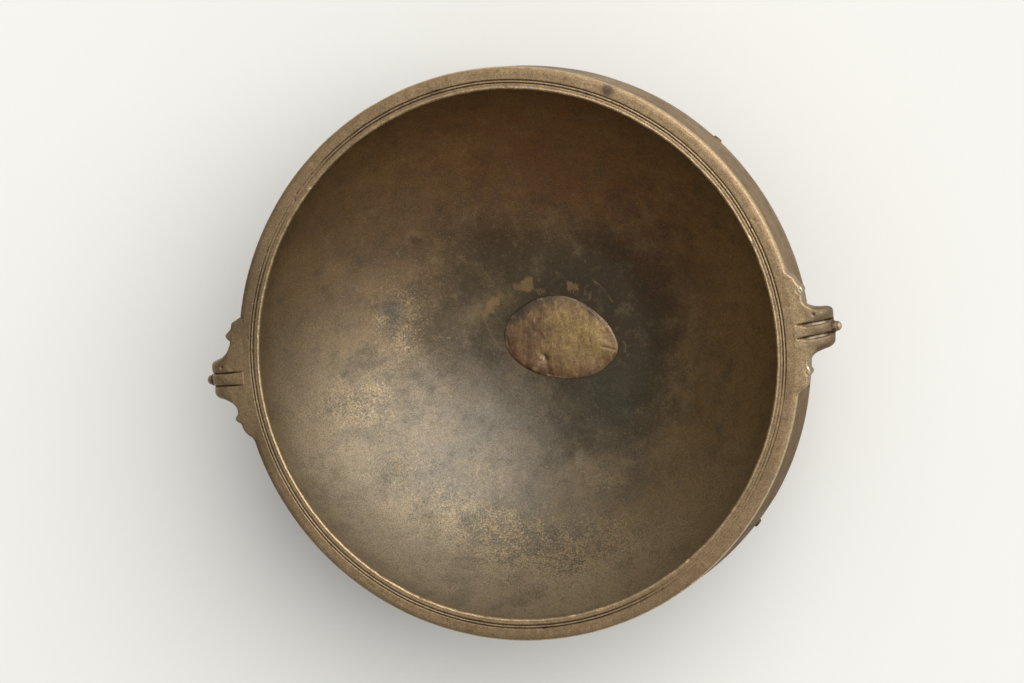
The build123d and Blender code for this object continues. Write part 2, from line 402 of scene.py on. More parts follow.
def inside_brass():
    n = Nodes(bpy.data.materials.new("bowl_inside_patina_and_painted_sheen"))
    cloud = n.noise(55, 6, 0.6)
    drift = n.noise(26, 5, 0.62, stretch=(1, 1.25, 0.8))
    blotch = n.noise(11, 6, 0.68)
    fleck = n.noise(3.6, 5, 0.7)
    speck = n.noise(1.5, 3, 0.65)
    dust = n.noise(1.7, 4, 0.75)
    grain = n.noise(0.9, 2, 0.7)
    gold = n.mark("gold")
    # the brown of the metal, warm at the top; low on the side that faces the light, pale and grey painted
    # sheen stands in for the reflection of the bright surround
    n.colour = n.mix(n.span(cloud, 0.3, 0.7), (92, 69, 38), (132, 105, 60))
    n.film(drift, 0.42, 0.7, 0.5, 88, 75, 45)
    n.coat(n.broken("warm", drift, 0.35, 0.65, 0.55), 132, 85, 26)
    n.coat(n.broken("pale", blotch, 0.3, 0.65, 0.6), 188, 168, 134)
    n.coat(n.mark("olive"), 156, 124, 66)
    n.coat(n.broken("grey", drift, 0.3, 0.7, 0.6), 119, 112, 98)
    # soot round the repair, with a ragged edge, and a rusty patch beside it
    soot_edge = n.sum(n.mark("soot"), n.sway(drift, 0.16), n.sway(blotch, 0.1), n.sway(fleck, 0.08))
    soot = n.span(soot_edge, 0.0, 1.05, 0.0, 0.94)
    charred = n.mix(n.span(drift, 0.4, 0.64), (50, 46, 34), (66, 53, 33))
    charred = n.mix(n.mark("cool"), charred, (69, 70, 57))
    n.colour = n.mix(soot, n.colour, charred)
    n.coat(n.times(n.mark("rust"), n.span(blotch, 0.42, 0.62)), 104, 58, 32)
    # worn golden sprinkles with slate ones between them, and slate smudges
    golden = n.sum(gold, n.span(blotch, 0.25, 0.75, -0.5, 0.5), n.span(dust, 0.25, 0.75, -0.6, 0.6))
    n.film(golden, 0.42, 1.2, 0.85, 180, 155, 113)
    slate = n.sum(gold, n.span(blotch, 0.25, 0.75, 0.25, -0.25), n.span(speck, 0.25, 0.75, -0.6, 0.6))
    n.film(slate, 0.5, 1.1, 0.75, 74, 70, 58)
    smudge = n.sum(n.mark("smudge"), n.span(dust, 0.25, 0.75, -0.3, 0.3))
    n.film(smudge, 0.25, 0.9, 0.72, 58, 58, 49)
    # mottling from coarse to fine
    n.film(drift, 0.47, 0.72, 0.3, 62, 50, 32)
    n.film(blotch, 0.48, 0.72, 0.36, 60, 49, 33)
    n.film(blotch, 0.48, 0.28, 0.26, 152, 131, 96)
    n.film(fleck, 0.52, 0.74, 0.34, 52, 42, 28)
    n.film(speck, 0.69, 0.74, 0.6, 36, 28, 19)
    n.film(grain, 0.37, 0.68, 0.5, 46, 36, 24)
    bare = n.sum(gold, n.times(soot, -0.5))
    n.coat(n.times(n.span(grain, 0.5, 0.28), n.span(bare, -0.5, 1.0, 0.05, 0.36)), 169, 150, 117)
    stroke = n.sum(n.mark("scrape"), n.span(fleck, 0.25, 0.75, -0.2, 0.2),
                   n.span(grain, 0.25, 0.75, -0.25, 0.25))
    n.film(stroke, 0.1, 1.0, 0.75, 140, 113, 76)
    n.bump(cloud, 1.0, 0.25)
    n.bump(blotch, 0.3, 0.3)
    n.bump(n.sum(fleck, n.times(grain, 0.45)), 0.14, 0.5)
    rough = n.sum(n.span(drift, 0.3, 0.7, 0.42, 0.49), n.span(fleck, 0.3, 0.7, -0.03, 0.05))
    return n.finish(rough, n.span(soot, 0.0, 1.0, 0.6, 0.84))


def outside_brass():
    n = Nodes(bpy.data.materials.new("bowl_outside_cast"))
    broad = n.noise(60, 5, 0.6)
    turned_lines = n.noise(9, 5, 0.7, stretch=(0.12, 0.12, 1.6))
    blotch = n.noise(12, 6, 0.65)
    fleck = n.noise(3.2, 5, 0.7)
    grain = n.noise(1.1, 4, 0.65)
    shade = n.mark("shade")
    n.colour = n.mix(n.span(broad, 0.3, 0.7), (124, 100, 70), (152, 127, 92))
    n.film(turned_lines, 0.42, 0.66, 0.25, 90, 70, 46)
    low = n.sum(n.mark("base"), n.sway(blotch, 0.25), n.sway(broad, 0.2))
    n.film(low, 0.15, 0.95, 0.9, 58, 48, 36)
    # painted shade in part: the shade mark darkens the dull side of the wall, partly its own skin, partly a
    # painted dark reflection
    n.coat(shade, 98, 75, 40)
    n.film(blotch, 0.54, 0.74, 0.45, 74, 57, 37)
    n.film(blotch, 0.46, 0.28, 0.13, 166, 140, 102)
    n.film(fleck, 0.52, 0.72, 0.5, 58, 45, 30)
    n.film(grain, 0.36, 0.68, 0.4, 62, 48, 32)
    n.bump(blotch, 0.6, 0.35)
    n.bump(turned_lines, 0.25, 0.3)
    n.bump(n.sum(fleck, n.times(grain, 0.5)), 0.18, 0.6)
    rough = n.sum(n.span(blotch, 0.3, 0.7, 0.46, 0.58), n.span(fleck, 0.3, 0.7, -0.03, 0.05),
                  n.times(shade, 0.12))
    return n.finish(rough, n.span(shade, 0.0, 1.0, 0.75, 0.45), gloss=0.08)


def rim_brass():
    n = Nodes(bpy.data.materials.new("rim_brass_wear_and_painted_light"))
    broad = n.noise(45, 3)
    blotch = n.noise(6, 5, 0.65)
    fleck = n.noise(1.6, 4, 0.6)
    grain = n.noise(0.85, 2, 0.6)
    n.colour = n.mix(n.span(blotch, 0.3, 0.7), (160, 132, 96), (180, 152, 112))
    # tone: random tone with painted light and painted shade round the rim and lugs
    n.coat(n.sum(n.mark("tone"), n.span(broad, 0.3, 0.7, -0.12, 0.12)), 106, 86, 58)
    # stains, with painted shade on the right lug's fingers
    n.coat(n.span(n.sum(n.mark("stain"), n.span(blotch, 0, 1, -0.25, 0.25)), 0.2, 0.9), 84, 70, 52)
    n.coat(n.span(n.sum(n.mark("cavity"), n.span(fleck, 0, 1, -0.15, 0.15)), 0.25, 0.8), 44, 33, 23)
    # edge: wear on edges, with painted highlight on the rim's lip and outer edge and on the right lug's plate
    n.coat(n.broken("edge", blotch, 0.4, 0.6, 0.6), 218, 191, 146)
    n.film(grain, 0.34, 0.68, 0.58, 84, 66, 43)
    n.film(fleck, 0.42, 0.28, 0.25, 200, 172, 128)
    n.film(fleck, 0.6, 0.72, 0.5, 66, 51, 34)
    # shine: painted highlight in a near-white colour
    n.coat(n.broken("shine", blotch, 0.34, 0.56, 0.55), 250, 240, 216)
    n.bump(blotch, 0.35, 0.35)
    n.bump(n.sum(fleck, n.times(grain, 0.5)), 0.14, 0.7)
    # roughness is lowered at worn edges and at painted highlights
    glint_gloss = n.sum(n.times(n.mark("edge"), -0.06), n.times(n.mark("shine"), -0.1))
    return n.finish(n.sum(n.span(blotch, 0.3, 0.7, 0.42, 0.54), glint_gloss), 0.7)


def patch_brass():
    n = Nodes(bpy.data.materials.new("patch_beaten_brass"))
    broad = n.noise(17, 5, 0.65)
    streak = n.noise(3.0, 5, 0.7, stretch=(1.0, 0.4, 1.0))
    fleck = n.noise(1.8, 4, 0.68)
    n.colour = n.mix(n.span(broad, 0.38, 0.62), (114, 80, 52), (142, 112, 70))
    n.coat(n.broken("gold", broad, 0.3, 0.6, 0.5), 170, 142, 84)
    # grey: grey tone, and painted highlight on the lit edge and the swelling
    n.coat(n.mark("grey"), 106, 92, 78)
    n.coat(n.mark("burnt"), 108, 68, 42)
    n.coat(n.mark("dusk"), 54, 48, 36)
    n.film(streak, 0.5, 0.72, 0.55, 186, 158, 108)
    n.film(streak, 0.46, 0.3, 0.6, 72, 54, 36)
    # bright: painted highlight
    n.coat(n.broken("bright", fleck, 0.35, 0.6, 0.3), 216, 192, 150)
    n.film(fleck, 0.4, 0.68, 0.55, 74, 56, 38)
    n.coat(n.span(n.sum(n.mark("cavity"), n.sway(fleck, 0.2)), 0.25, 0.85), 42, 31, 22)
    n.bump(streak, 0.4, 0.8)
    n.bump(fleck, 0.14, 0.7)
    return n.finish(n.span(streak, 0.3, 0.7, 0.42, 0.54), 0.65)


# ---------------------------------------------------------------- bowl pan

PAN_TURNS = 480              # points round the pan

# dents inside: x, y, size, depth
DENTS = ((-96, 82, 5, 0.7), (-70, -54, 16, 0.7), (2, -90, 7, 0.8), (58, 64, 18, 0.6),
         (-30, 130, 22, 0.6), (110, -60, 20, 0.6), (-128, -18, 14, 0.5), (36, -38, 10, 0.5))

# where the inside has more or less soot, worn gold or a slate smudge: x, y, size, strength
SOOT_SPOTS = (
    (-50, 84, 50, 0.4), (-84, 52, 48, 0.42), (-98, 8, 44, 0.4), (44, -76, 46, 0.3), (-4, -92, 30, 0.2),
    (74, 34, 40, 0.12), (4, 92, 34, 0.2), (-46, -38, 38, -0.5), (-20, -50, 30, -0.22),
    (-50, 30, 26, -0.25), (-22, 46, 22, -0.12), (8, -44, 24, -0.14), (-82, -2, 34, 0.28),
    (-128, -4, 34, 0.1), (-112, -62, 34, 0.06), (-66, -112, 34, 0.14))
GOLD_SPOTS = (
    (-147, -35, 32, 0.8), (-118, 28, 32, 0.6), (-130, 24, 16, 0.75), (-112, 9, 18, 0.85),
    (-104, 8, 26, 0.35), (-128, -84, 34, 0.55), (100, -105, 40, 0.35), (26, -112, 26, 0.4),
    (-60, -100, 24, 0.35))
SMUDGES = (
    (-120, 29, 9.5, 1.1), (-155, -13, 4, 0.8), (-151, -18, 3.5, 0.7), (-85, -65, 5, 0.6),
    (-124, -32, 3, 0.5), (-77, -127, 13, 0.65), (-34, -128, 11, 0.55), (7, -143, 10, 0.55),
    (-5, -121, 12, 0.5), (44, -126, 9, 0.45), (-58, -141, 8, 0.4))

# groups of short scrape strokes round the repair: x, y, half width, half height, strength
SCRAPES = (
    (-55.5, 19.5, 3.2, 4.0, 0.8), (-51.0, 24.5, 3.0, 5.5, 1.0), (-46.5, 28.5, 3.4, 4.0, 0.9),
    (-42.0, 33.0, 2.6, 2.6, 0.6), (-28.5, 37.8, 3.6, 3.6, 0.8), (-21.5, 38.8, 4.8, 5.0, 1.0),
    (-12.5, 33.2, 4.5, 1.2, 0.5), (10.6, 35.8, 2.2, 3.2, 0.9), (15.0, 33.8, 2.4, 3.6, 0.9),
    (22.0, 30.6, 1.8, 3.0, 0.7), (25.0, 26.4, 1.4, 3.0, 0.8), (36.5, 18.0, 2.6, 2.2, 0.4),
    (46.5, -12.5, 1.0, 2.6, 0.4), (-40.0, -27.6, 4.0, 1.2, 0.5), (-10.5, -36.2, 3.5, 1.6, 0.35))

# thin scratches, each a line through a few places
SCRATCHES = (
    ((-56.7, 19.2), (-54.5, 10.0), (-50.5, 0.0), (-45.6, -7.7)),
    ((-43.2, -26.4), (-38.0, -29.2), (-32.9, -30.3)),
    ((-31.0, 40.0), (-20.0, 36.0), (-10.0, 32.4)),
    ((28.0, 38.0), (36.0, 30.0), (41.0, 20.0)),
    ((46.4, -9.0), (47.6, -12.2), (46.6, -16.0)),
    ((-97.0, 8.5), (-93.5, 4.5)),
    ((-126.0, -37.0), (-121.5, -41.0)))


def soft_knee(points, passes):
    """Rounds the corners of an open profile a little, keeping its ends."""
    for _ in range(passes):
        points[1:-1] = points[1:-1] * 0.5 + (points[:-2] + points[2:]) * 0.25
    return points


def wall_swell(turn, height):
    """How far the hand-cast wall bellies out past a true circle at a turn and height."""
    belly = 1.1 * step_up(np.cos(turn), 0.1, 0.6) + 1.7 * near_turn(turn, -28, 0.6)
    return belly * bump_at(height - SHOULDER_Z + 2, 42)


def wall_shade(turn):
    """1 on the side of the outer wall that is darkest and dullest, falling to 0 round from it: partly the
    wall's own duller skin, partly painted shade for a dark reflection there.
    """
    return near_turn(turn, -40, 1.25)


def pan_profile(seat):
    """The pan's section, down the inside and up the outside, and how many points are inside."""
    centre = 1.0             # the section stops this far from the axis
    belly = arc_points((FLOOR_R, FLOOR_T), KNEE, BELLY_IN, 66)
    inner = soft_knee(np.vstack([
        run((INNER_R, seat), KNEE, 16),
        belly[::-1][:-1],
        run((FLOOR_R, FLOOR_T), (centre, FLOOR_T), 58),
    ]), 12)
    base = WALL_R - 0.4      # the wall leans in a little from the shoulder to the seat
    top = WALL_R - 0.9
    outer = np.vstack([
        run((centre, HOLLOW_H), (HOLLOW_R, HOLLOW_H), 5),
        run((HOLLOW_R, HOLLOW_H), (HOLLOW_R + 2, 2 * FOOT_Z), 3),
        run((HOLLOW_R + 2, FOOT_Z), (FOOT_R, FOOT_Z), 4),
        arc_points((FOOT_R, FOOT_Z), (base, SHOULDER_Z), BELLY_OUT, 36)[:-1],
        run((base, SHOULDER_Z), (top, seat), 9),
        [(top, seat)],
    ])
    outer[12:-1] = soft_knee(outer[12:-1], 2)
    return np.vstack([inner, outer]), len(inner)


def pan_marks(points, turn, inside):
    """How strong each stain is at the pan's points."""
    x, y, z = points.T
    out = np.hypot(x, y)
    blur = 12 * noise(points, 45, 21) + 6 * noise(points, 16, 22)
    soot = 1.08 - 1.08 * step_up(np.hypot((x - 17) / 1.02, y + 1) + 0.5 * blur, 22, 122)
    for at_x, at_y, size, strength in SOOT_SPOTS:
        soot += strength * near_spot(x + 0.5 * blur, y - 0.5 * blur, at_x, at_y, size)
    cool = 0.9 * near_spot(x, y, 18, -56, 62, 1.2) + 0.4 * near_spot(x, y, -60, 10, 50)
    # painted sheen: grey and pale lay a lighter, greyer colour on the inside where it faces the light,
    # standing in for its reflection
    grey = near_turn(turn, 228, 1.35) * step_up(out, 15, 60)
    grey *= 1 - 0.32 * step_up(out + 0.5 * blur, 144, 168)
    pale = 0.8 * near_turn(turn, 262, 1.75) * step_up(out + 0.5 * blur, 122, 168)
    pale += near_turn(turn, 230, 0.95) * step_up(out + 0.5 * blur, 146, 168)
    rust = 0.5 * near_spot(x, y, 74, 36, 44) + 0.6 * near_spot(x, y, 78, 88, 46)
    rust += 0.35 * near_spot(x, y, -30, 96, 30)
    gold = 0.95 * near_turn(turn, 258, 0.95) * bump_at(np.abs(out - 152 + 0.6 * blur), 34)
    for at_x, at_y, size, strength in GOLD_SPOTS:
        gold = np.maximum(gold, strength * near_spot(x + 0.6 * blur, y, at_x, at_y, size))
    smudge = np.zeros(len(points))
    ripple = noise(points, 5, 34)
    for at_x, at_y, size, strength in SMUDGES:
        gap = np.hypot(x - at_x, (y - at_y) * 0.8) + 0.25 * size * ripple
        smudge = np.maximum(smudge, strength * bump_at(gap, size))

    strokes = 0.5 + 0.5 * np.sin(x * 3.4 + 2.2 * noise(points, 9, 31))
    ragged = 2.2 * noise(points, 4, 32) + 1.6 * (strokes - 0.5)
    scrape = np.zeros(len(points))
    for at_x, at_y, half_w, half_h, strength in SCRAPES:
        across = 1 - step_up(np.abs(x - at_x) + 0.35 * ragged, half_w * 0.75, half_w * 1.15)
        tall = 1 - step_up(np.abs(y - at_y) + ragged, half_h * 0.6, half_h * 1.2)
        scrape = np.maximum(scrape, strength * across * tall * (0.6 + 0.4 * strokes))
    waver = 0.25 * noise(points, 5, 33)
    for line in SCRATCHES:
        for start, end in zip(line, line[1:]):
            scrape = np.maximum(scrape, 0.55 * bump_at(line_gap(x, y, start, end) + waver, 1.1))
    marks = held(soot=soot, pale=pale, cool=cool, rust=rust, gold=gold)
    marks["olive"] = 0.6 * near_turn(turn, 10, 1.2) * step_up(out, 112, 160)
    marks["warm"] = near_turn(turn, 72, 1.9) * step_up(out, 50, 100)
    marks.update(grey=grey, smudge=smudge, scrape=scrape)
    marks = {label: values * inside for label, values in marks.items()}
    marks["base"] = 1 - step_up(z, 20, 95)
    marks["shade"] = wall_shade(turn)
    return marks


def bowl_pan():
    seat = TOP - RIM_T + 1
    profile, inner_rings = pan_profile(seat)
    rings = len(profile)
    tangent = np.roll(profile, -1, 0) - np.roll(profile, 1, 0)
    tangent /= np.maximum(np.hypot(*tangent.T), 1e-6)[:, None]
    inward = np.repeat(np.stack([-tangent[:, 1], tangent[:, 0]], 1), PAN_TURNS, axis=0)
    radius, height = np.repeat(profile, PAN_TURNS, axis=0).T
    turn = np.tile(np.linspace(0, 2 * math.pi, PAN_TURNS, endpoint=False), rings)
    points = round_axis(radius, turn, height)
    inside = np.arange(len(points)) < inner_rings * PAN_TURNS

    # hand-cast unevenness: long waves, soft dents and a fine roll of the surface
    waves = noise(points, 28, 4) + noise(points, 14, 5) / 2
    lift = 0.45 * noise(points, 90, 1) + 0.16 * waves + 0.05 * noise(points, 8, 9)
    for at_x, at_y, size, depth in DENTS:
        lift -= depth * near_spot(points[:, 0], points[:, 1], at_x, at_y, size) * inside
    flat = step_up(radius, 44, 72)
    lift *= np.where(inside, 0.35 + 0.65 * flat, flat)
    lift *= step_up(seat - height, -1, 14) * 0.8 + 0.2
    swollen = radius + inward[:, 0] * lift + wall_swell(turn, height) * ~inside
    points = round_axis(swollen, turn, height + inward[:, 1] * lift)

    # quads all round but for the two small holes in the middle, which are closed by fans
    hub = inner_rings - 1
    quads = lathe_faces(rings, PAN_TURNS, closed=True)
    quads = quads[quads[:, 0] // PAN_TURNS != hub]
    here = np.arange(PAN_TURNS)
    after = (here + 1) % PAN_TURNS
    fans = []
    for ring, first, second in ((hub, here, after), (hub + 1, after, here)):
        middle = np.full(PAN_TURNS, len(points) + ring - hub)
        fans.append(np.stack([ring * PAN_TURNS + first, ring * PAN_TURNS + second, middle], 1))
    marks = {label: np.append(values, [0, 0])
             for label, values in pan_marks(points, turn, inside).items()}
    points = np.vstack([points, [[0, 0, FLOOR_T], [0, 0, HOLLOW_H]]])
    faces = quads.tolist() + np.vstack(fans).tolist()
    piece = stand_in("bowl_pan", "_cast", inside_brass(), points, faces, marks)
    piece.data.materials.append(OUTSIDE_MATERIAL)
    for polygon in piece.data.polygons:
        if min(polygon.vertices) >= inner_rings * PAN_TURNS:
            polygon.material_index = 1


# ---------------------------------------------------------------- rim

GROOVES = (188.5, 190.5)     # radius of the two incised lines
RIM_TURNS = 900              # points round the rim

# where the incised lines are rubbed away: degrees round, degrees wide, loss
FADES = ((142, 20, 0.72), (320, 20, 0.8), (302, 16, 0.5), (344, 12, 0.4))

# nicks: degrees round, radius, size along, size across, depth
NICKS = ((49.2, 199.6, 0.9, 1.2, 0.9), (306, 185, 1.5, 1.2, 0.9), (135.5, 185.4, 1.2, 0.9, 0.8),
         (168.6, 184.6, 1.3, 1.0, 0.7), (170.6, 184.6, 1.4, 1.0, 0.8), (242.3, 184.6, 1.8, 1.0, 0.7),
         (21.2, 186.6, 1.2, 0.9, 0.6), (85.7, 185.6, 1.2, 0.9, 0.6), (196, 184.9, 0.9, 0.7, 0.5),
         (250.6, 184.5, 1.2, 0.8, 0.5), (270.4, 190.8, 2.4, 1.2, 0.5), (277.5, 185.6, 1.6, 0.9, 0.4),
         (333, 199.6, 1.4, 1.0, 0.5), (100.5, 190.5, 2.0, 1.0, 0.3), (64.5, 199.5, 3.0, 0.8, 0.4))

# dark stains: degrees round, radius, size, how many times longer along the rim, strength
STAINS = ((64, 196, 8, 1.005, 1.0), (162, 189, 3.4, 1.592, 0.9), (101, 190, 5, 2.0, 0.6),
          (87, 197, 2.2, 1.0, 0.7), (73, 195, 5, 1.0, 0.5))


def worn_top(points):
    """Height of the worn rim and lug tops at each point, a little under the frame's top."""
    worn = SKIN + 0.12 + 0.10 * noise(points, 30, 46) + 0.05 * noise(points, 6, 47)
    return TOP - worn


def tone_and_painted_light(points, turn):
    """How dark the brass is: a random tone, with painted light palest at the upper right towards the light
    and painted shade darkest on the left away from it.
    """
    tone = 0.06 + 0.2 * noise(points, 60, 51)
    for degrees, width, strength in ((175, 1.5, 0.78), (-15, 0.35, 0.16), (110, 0.5, 0.12), (290, 1.0, 0.5)):
        tone = tone + strength * near_turn(turn, degrees, width)
    return tone


def rim_profile():
    """Closed outline of the rim's section: radius and height over the rim's top."""
    side = [(RIM_R - 1.2, -RIM_T), (RIM_R - 0.4, -6.2), (RIM_R - 0.2, -4.8), (RIM_R - 0.2, -3.2),
            (RIM_R - 0.3, -2.2), (RIM_R - 0.6, -1.4), (RIM_R - 1.1, -0.85)]
    top_r = np.concatenate([run(RIM_R - 1.6, 191.6, 14), run(191.6, 187.4, 22), run(187.4, LIP_R + 0.9, 9)])
    top_z = -0.5 * step_up(top_r, 195.5, 199.6) - 0.15 * bump_at(np.abs(top_r - 186.3), 0.9)
    for groove in GROOVES:
        top_z -= 0.8 * np.exp(-((top_r - groove) / 0.42) ** 2)
    lip = [(LIP_R + 0.9, -0.2), (LIP_R + 0.5, -0.42), (LIP_R + 0.2, -0.8), (LIP_R, -1.4), (LIP_R, -2.3),
           (LIP_R + 0.15, -3.2), (LIP_R + 0.8, -4.1), (LIP_R + 2.0, -4.9), (LIP_R + 4.0, -5.8),
           (LIP_R + 7.0, -6.9), (LIP_R + 10.0, -7.6), (WALL_R - 3, -7.8)]
    radius = np.concatenate([[r for r, _ in side], top_r, [r for r, _ in lip]])
    drop = np.concatenate([[z for _, z in side], top_z, [z for _, z in lip]])
    return radius, drop


def rim_ring():
    section_r, section_z = rim_profile()
    rings = len(section_r)
    radius = np.repeat(section_r, RIM_TURNS)
    drop = np.repeat(section_z, RIM_TURNS)
    turn = np.tile(np.linspace(0, 2 * math.pi, RIM_TURNS, endpoint=False), rings)
    points = round_axis(radius, turn, TOP + drop)
    top_face = step_up(drop, -4.5, -1.5)
    circle = round_axis(200, turn, 0 * turn)

    # the incised lines fade where the rim was rubbed, and wander a little
    fade = np.ones_like(turn)
    for degrees, width, loss in FADES:
        fade -= loss * near_turn(turn, degrees, math.radians(width))
    fade = np.clip(fade - 0.12 * np.clip(noise(circle, 9, 40), 0, 1), 0.12, 1)
    grooved = (radius > 187.6) & (radius < 191.4)
    drop = np.where(grooved, drop * fade, drop)
    wander = 0.16 * noise(circle, 35, 41) + 0.07 * noise(circle, 11, 42)
    radius = radius + wander * step_up(RIM_R - radius, 1.5, 5)

    # uneven edges, a gently rolling top and small casting pits
    radius -= (0.10 + 0.14 * noise(circle, 16, 43)) * step_up(radius, 197.5, 199.8)
    ragged = 0.26 * noise(points, 7, 44) + 0.16 * noise(points, 2.6, 45)
    radius += (0.12 + ragged) * (1 - step_up(radius, 184.3, 186.4)) * top_face
    pit = step_up(noise(points, 2.4, 48), 0.62, 0.85) * step_up(noise(points, 40, 49), -0.6, 0.4)
    cavity = np.clip(0.6 * pit, 0, 1)
    drop -= 0.28 * pit * top_face
    for degrees, out, along, across, depth in NICKS:
        gap = np.hypot(angle_gap(turn, math.radians(degrees)) * out / along, (radius - out) / across)
        dip = np.exp(-gap ** 2 * 1.4)
        drop -= depth * dip * top_face
        cavity += 0.5 * dip
    cavity += np.where(grooved, step_up(-drop - 0.05, 0.2, 0.6), 0)
    # painted shade: the lip's inner face and underside are darkened where shade falls under the rim
    cavity += 0.9 * (1 - top_face) * (radius < 197) * step_up(radius, 184.2, 187)

    # rubbed edges with painted highlights: the inner lip, brightest towards the light, and the outer edge,
    # left out on the side away from it, carry painted highlight as well as wear; the land between the incised
    # lines is rubbed
    bright = 0.6 + 0.85 * near_turn(turn, 40, 1.2) + 0.3 * near_turn(turn, 265, 0.9)
    edge = bright * bump_at(np.abs(radius - 184.9), 0.6 + 1.1 * bright) * top_face
    away_from_left = step_up(angle_gap(turn, math.pi), 0.3, 1.4)
    edge += 1.1 * bump_at(np.abs(radius - 199.3), 0.68) * top_face * away_from_left
    edge += 0.35 * bump_at(np.abs(radius - 189.5), 0.4) * fade
    # the outer band sinks where a lug's plate lies over it
    for side in (0, math.pi):
        reach = angle_gap(turn, side) * radius
        under = 1 - step_up(reach, 35, 42)
        drop += 0.5 * step_up(radius, 195.5, 199.6) * under * top_face * (radius < 199.9)
        drop -= 2.6 * (1 - step_up(reach, 36, 41)) * step_up(radius, 198.6, 199.2) * top_face
    stain = 0
    for degrees, out, size, longer, strength in STAINS:
        gap = np.hypot(angle_gap(turn, math.radians(degrees)) * out / longer, radius - out)
        stain = stain + strength * bump_at(gap, size)
    marks = held(cavity=cavity, edge=edge, tone=tone_and_painted_light(points, turn), stain=stain)
    worn = worn_top(points * [1, 1, 0] + [0, 0, TOP]) * top_face + (TOP - SKIN) * (1 - top_face)
    points = round_axis(radius, turn, np.minimum(worn + drop, CEILING))
    faces = lathe_faces(rings, RIM_TURNS, closed=True)
    stand_in("rim_ring", "_cast", RIM_MATERIAL, points, faces, marks)


# ---------------------------------------------------------------- lugs

FLAT_X = 207.0               # the lug's flat top ends and starts to roll down
ROLL_R = 19.5
LUG_DEPTH = 23.0             # rim top down to the lug's root on the wall
TIP_DEPTH = 17.5             # rim top down to the underside of the fingers
LUG_PITCH = 0.5              # grid step of the modelled castings
BAR_PITCH = 0.4

# each outline runs from the rim on the +y side, round the fingers, to the rim on the -y side
# darker paints shade on the fingers where above 0 and light where below 0
LUGS = {
    "right": dict(
        node="right_lug", bar="right_lug_bar", turn=0.0, skew=0.083, middle=0.2,
        channel=1.3, nod=-1.2, lean=0.8, relief=0.9, darker=0.95, plate_light_finger_shade=0.36, shine=1.0,
        outline=[(188, 44), (193.5, 45.4), (195.3, 41.2), (199.6, 37.4), (202.0, 33.4), (203.0, 31.8),
                 (204.9, 30.7), (205.4, 28.2), (204.4, 25.6), (204.3, 22.2), (205.6, 18.6), (209.6, 16.5),
                 (214.6, 15.6), (219.6, 15.4), (222.6, 13.4), (223.0, 8), (223.1, 0), (223.0, -6),
                 (222.3, -9.6), (219.4, -12.2), (214.5, -13.6), (209.8, -15.4), (205.9, -18.4),
                 (204.4, -22.3), (204.9, -25.2), (205.9, -27.4), (204.9, -29.4), (203.2, -31.2),
                 (203.0, -34.0), (201.0, -37.5), (196.0, -40.9), (193.5, -43), (188, -43)],
        buds=[(203.9, 28.4, 2.0), (204.4, -27.6, 1.6)], pit=(211.2, 11.2)),
    "left": dict(
        node="left_lug", bar="left_lug_bar", turn=math.pi, skew=0.0, middle=-0.3,
        channel=0.4, nod=0.4, lean=0.0, relief=0.3, darker=-0.25, plate_light_finger_shade=0.0, shine=0.0,
        outline=[(188, 46), (192.2, 48), (195.4, 42.6), (197.8, 40.6), (200.2, 38.0), (201.6, 35.0),
                 (202.6, 32.0), (205.3, 30.2), (206.2, 27.6), (204.2, 24.8), (204.3, 21.2), (206.6, 17.6),
                 (211.6, 14.9), (218.0, 13.0), (221.5, 10.4), (222.0, 6), (222.6, 0), (222.6, -5),
                 (222.7, -9.2), (221.2, -12.6), (217.4, -14.2), (211.8, -16.3), (207.8, -19.3),
                 (205.4, -23.2), (204.2, -26.8), (205.9, -28.6), (207.4, -31.2), (205.0, -33.5),
                 (202.6, -35.8), (201.4, -39.6), (198.6, -41.3), (193.8, -43.6), (188, -44)],
        buds=[(204.6, 28.0, 1.5), (205.4, -31.0, 1.8)], pit=(212.5, -9.0)),
}


def lug_top(x, y):
    """Height of the lug's top: flush with the rim, then rolling down to the finger tips."""
    flat = np.stack([x, y, np.full(x.shape, TOP)], -1).reshape(-1, 3)
    worn = worn_top(flat).reshape(x.shape)
    under_rim = 0.04 - 0.035 * np.maximum(0, 198.0 - np.hypot(x, y)) ** 1.6
    over = np.clip((x - FLAT_X) / ROLL_R, 0, 0.98)
    return worn + under_rim - ROLL_R * (1 - np.sqrt(1 - over ** 2))


def lug_bottom(x):
    """Height of the lug's underside, rising from the wall to the fingers."""
    return TOP - LUG_DEPTH + (LUG_DEPTH - TIP_DEPTH) * (x - 200) / 23


def beside_bar(spec, x, y):
    """Sideways distance from the bar's middle line."""
    return y - (spec["middle"] + spec["skew"] * (x - 196))


def groove_cut(x, side, width, lean):
    """Depth of the two channels beside the bar and how far out they lie; lean flattens one flank."""
    opening = step_up(x, 195.5, 207)
    spread = 4.7 - 0.35 * step_up(x, 198, 218)
    gap = side - np.sign(side) * spread
    long_w = 0.35 + width * opening * (1 + lean)
    short_w = 0.35 + width * opening * (1 - 0.6 * lean)
    slope = np.maximum(0, 1 - np.where(gap < 0, -gap / long_w, gap / short_w))
    deep = (0.3 + 1.5 * min(width, 1)) * opening
    depth = (0.3 + 1.3 * deep) * slope + (1 - 0.6 * lean) * deep * np.exp(-(gap / 0.4) ** 2)
    return depth, spread


def turned(points, angle):
    c, s = math.cos(angle), math.sin(angle)
    return points @ np.array([[c, s, 0], [-s, c, 0], [0, 0, 1]])


